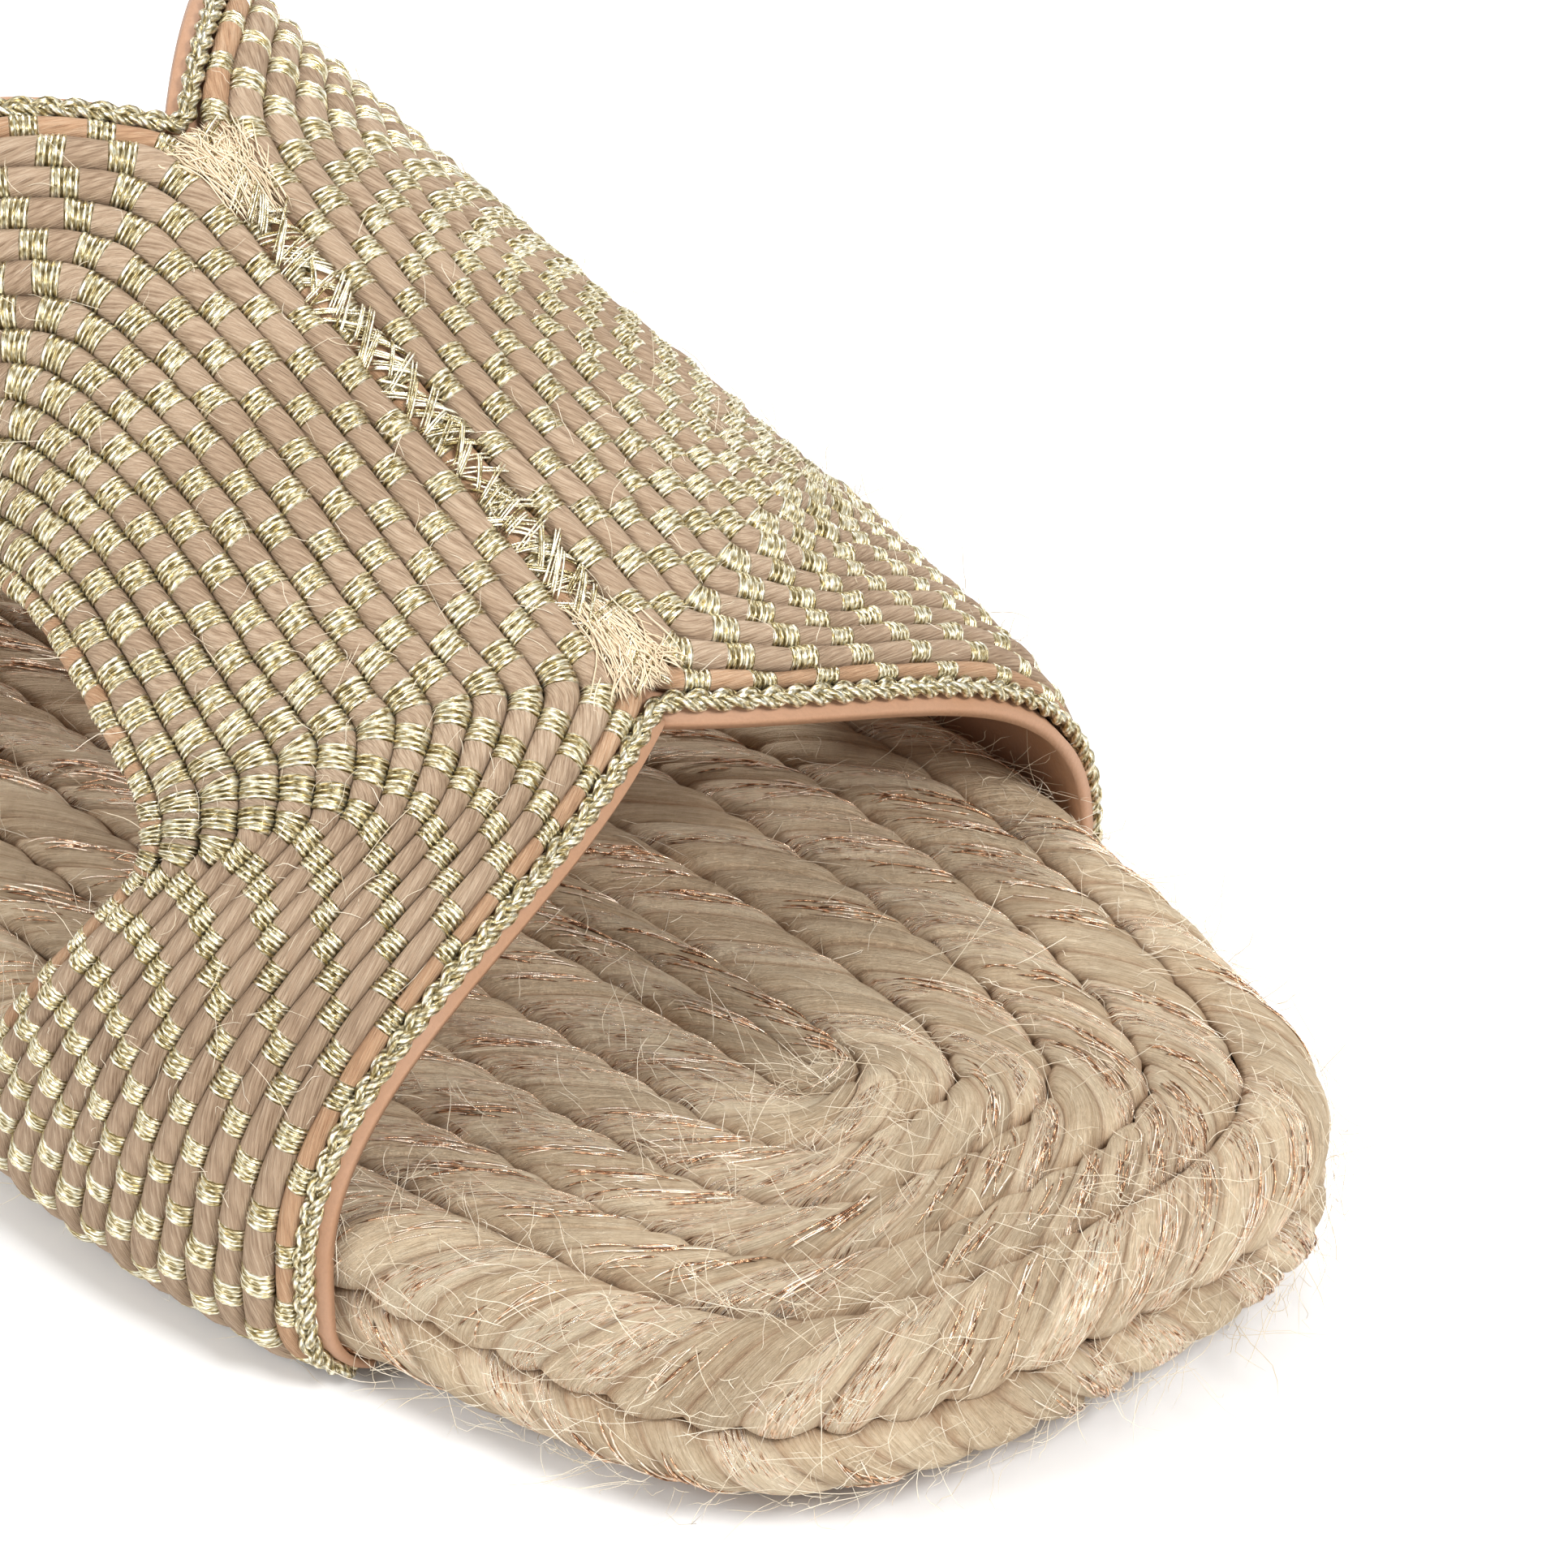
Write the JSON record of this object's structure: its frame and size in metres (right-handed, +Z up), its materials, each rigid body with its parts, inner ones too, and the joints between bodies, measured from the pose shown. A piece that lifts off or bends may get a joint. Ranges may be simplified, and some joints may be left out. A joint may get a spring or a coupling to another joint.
{
  "type": "slip-on flat sandal",
  "caption": "Right slip-on flat sandal: braided rope sole under an open upper of wrapped parallel cords, open at toe, heel and sides.",
  "frame": {"origin": "on the ground, at half the sole's length, on the foot's long axis", "axes": "+Z up, toes towards -Y, heel towards +Y, the inner (big toe) side towards +X"},
  "size_m": [0.1005, 0.2498, 0.0815],
  "materials": {
    "outsole": "matt tan sheet with a fine grain",
    "rope_sole": "natural jute braid with rose-gold metallic threads and loose hairs",
    "upper": "twisted jute cords wrapped with pale gold metallic thread",
    "edging": "crocheted chain of pale gold metallic thread",
    "lining": "smooth matt pinkish tan leather, on the inside of the upper"
  },
  "bodies": {
    "root": {"outsole": "outsole", "rope_sole": "rope_sole", "upper": "upper", "front_edging": "edging", "rear_edging": "edging"}
  },
  "joints": []
}
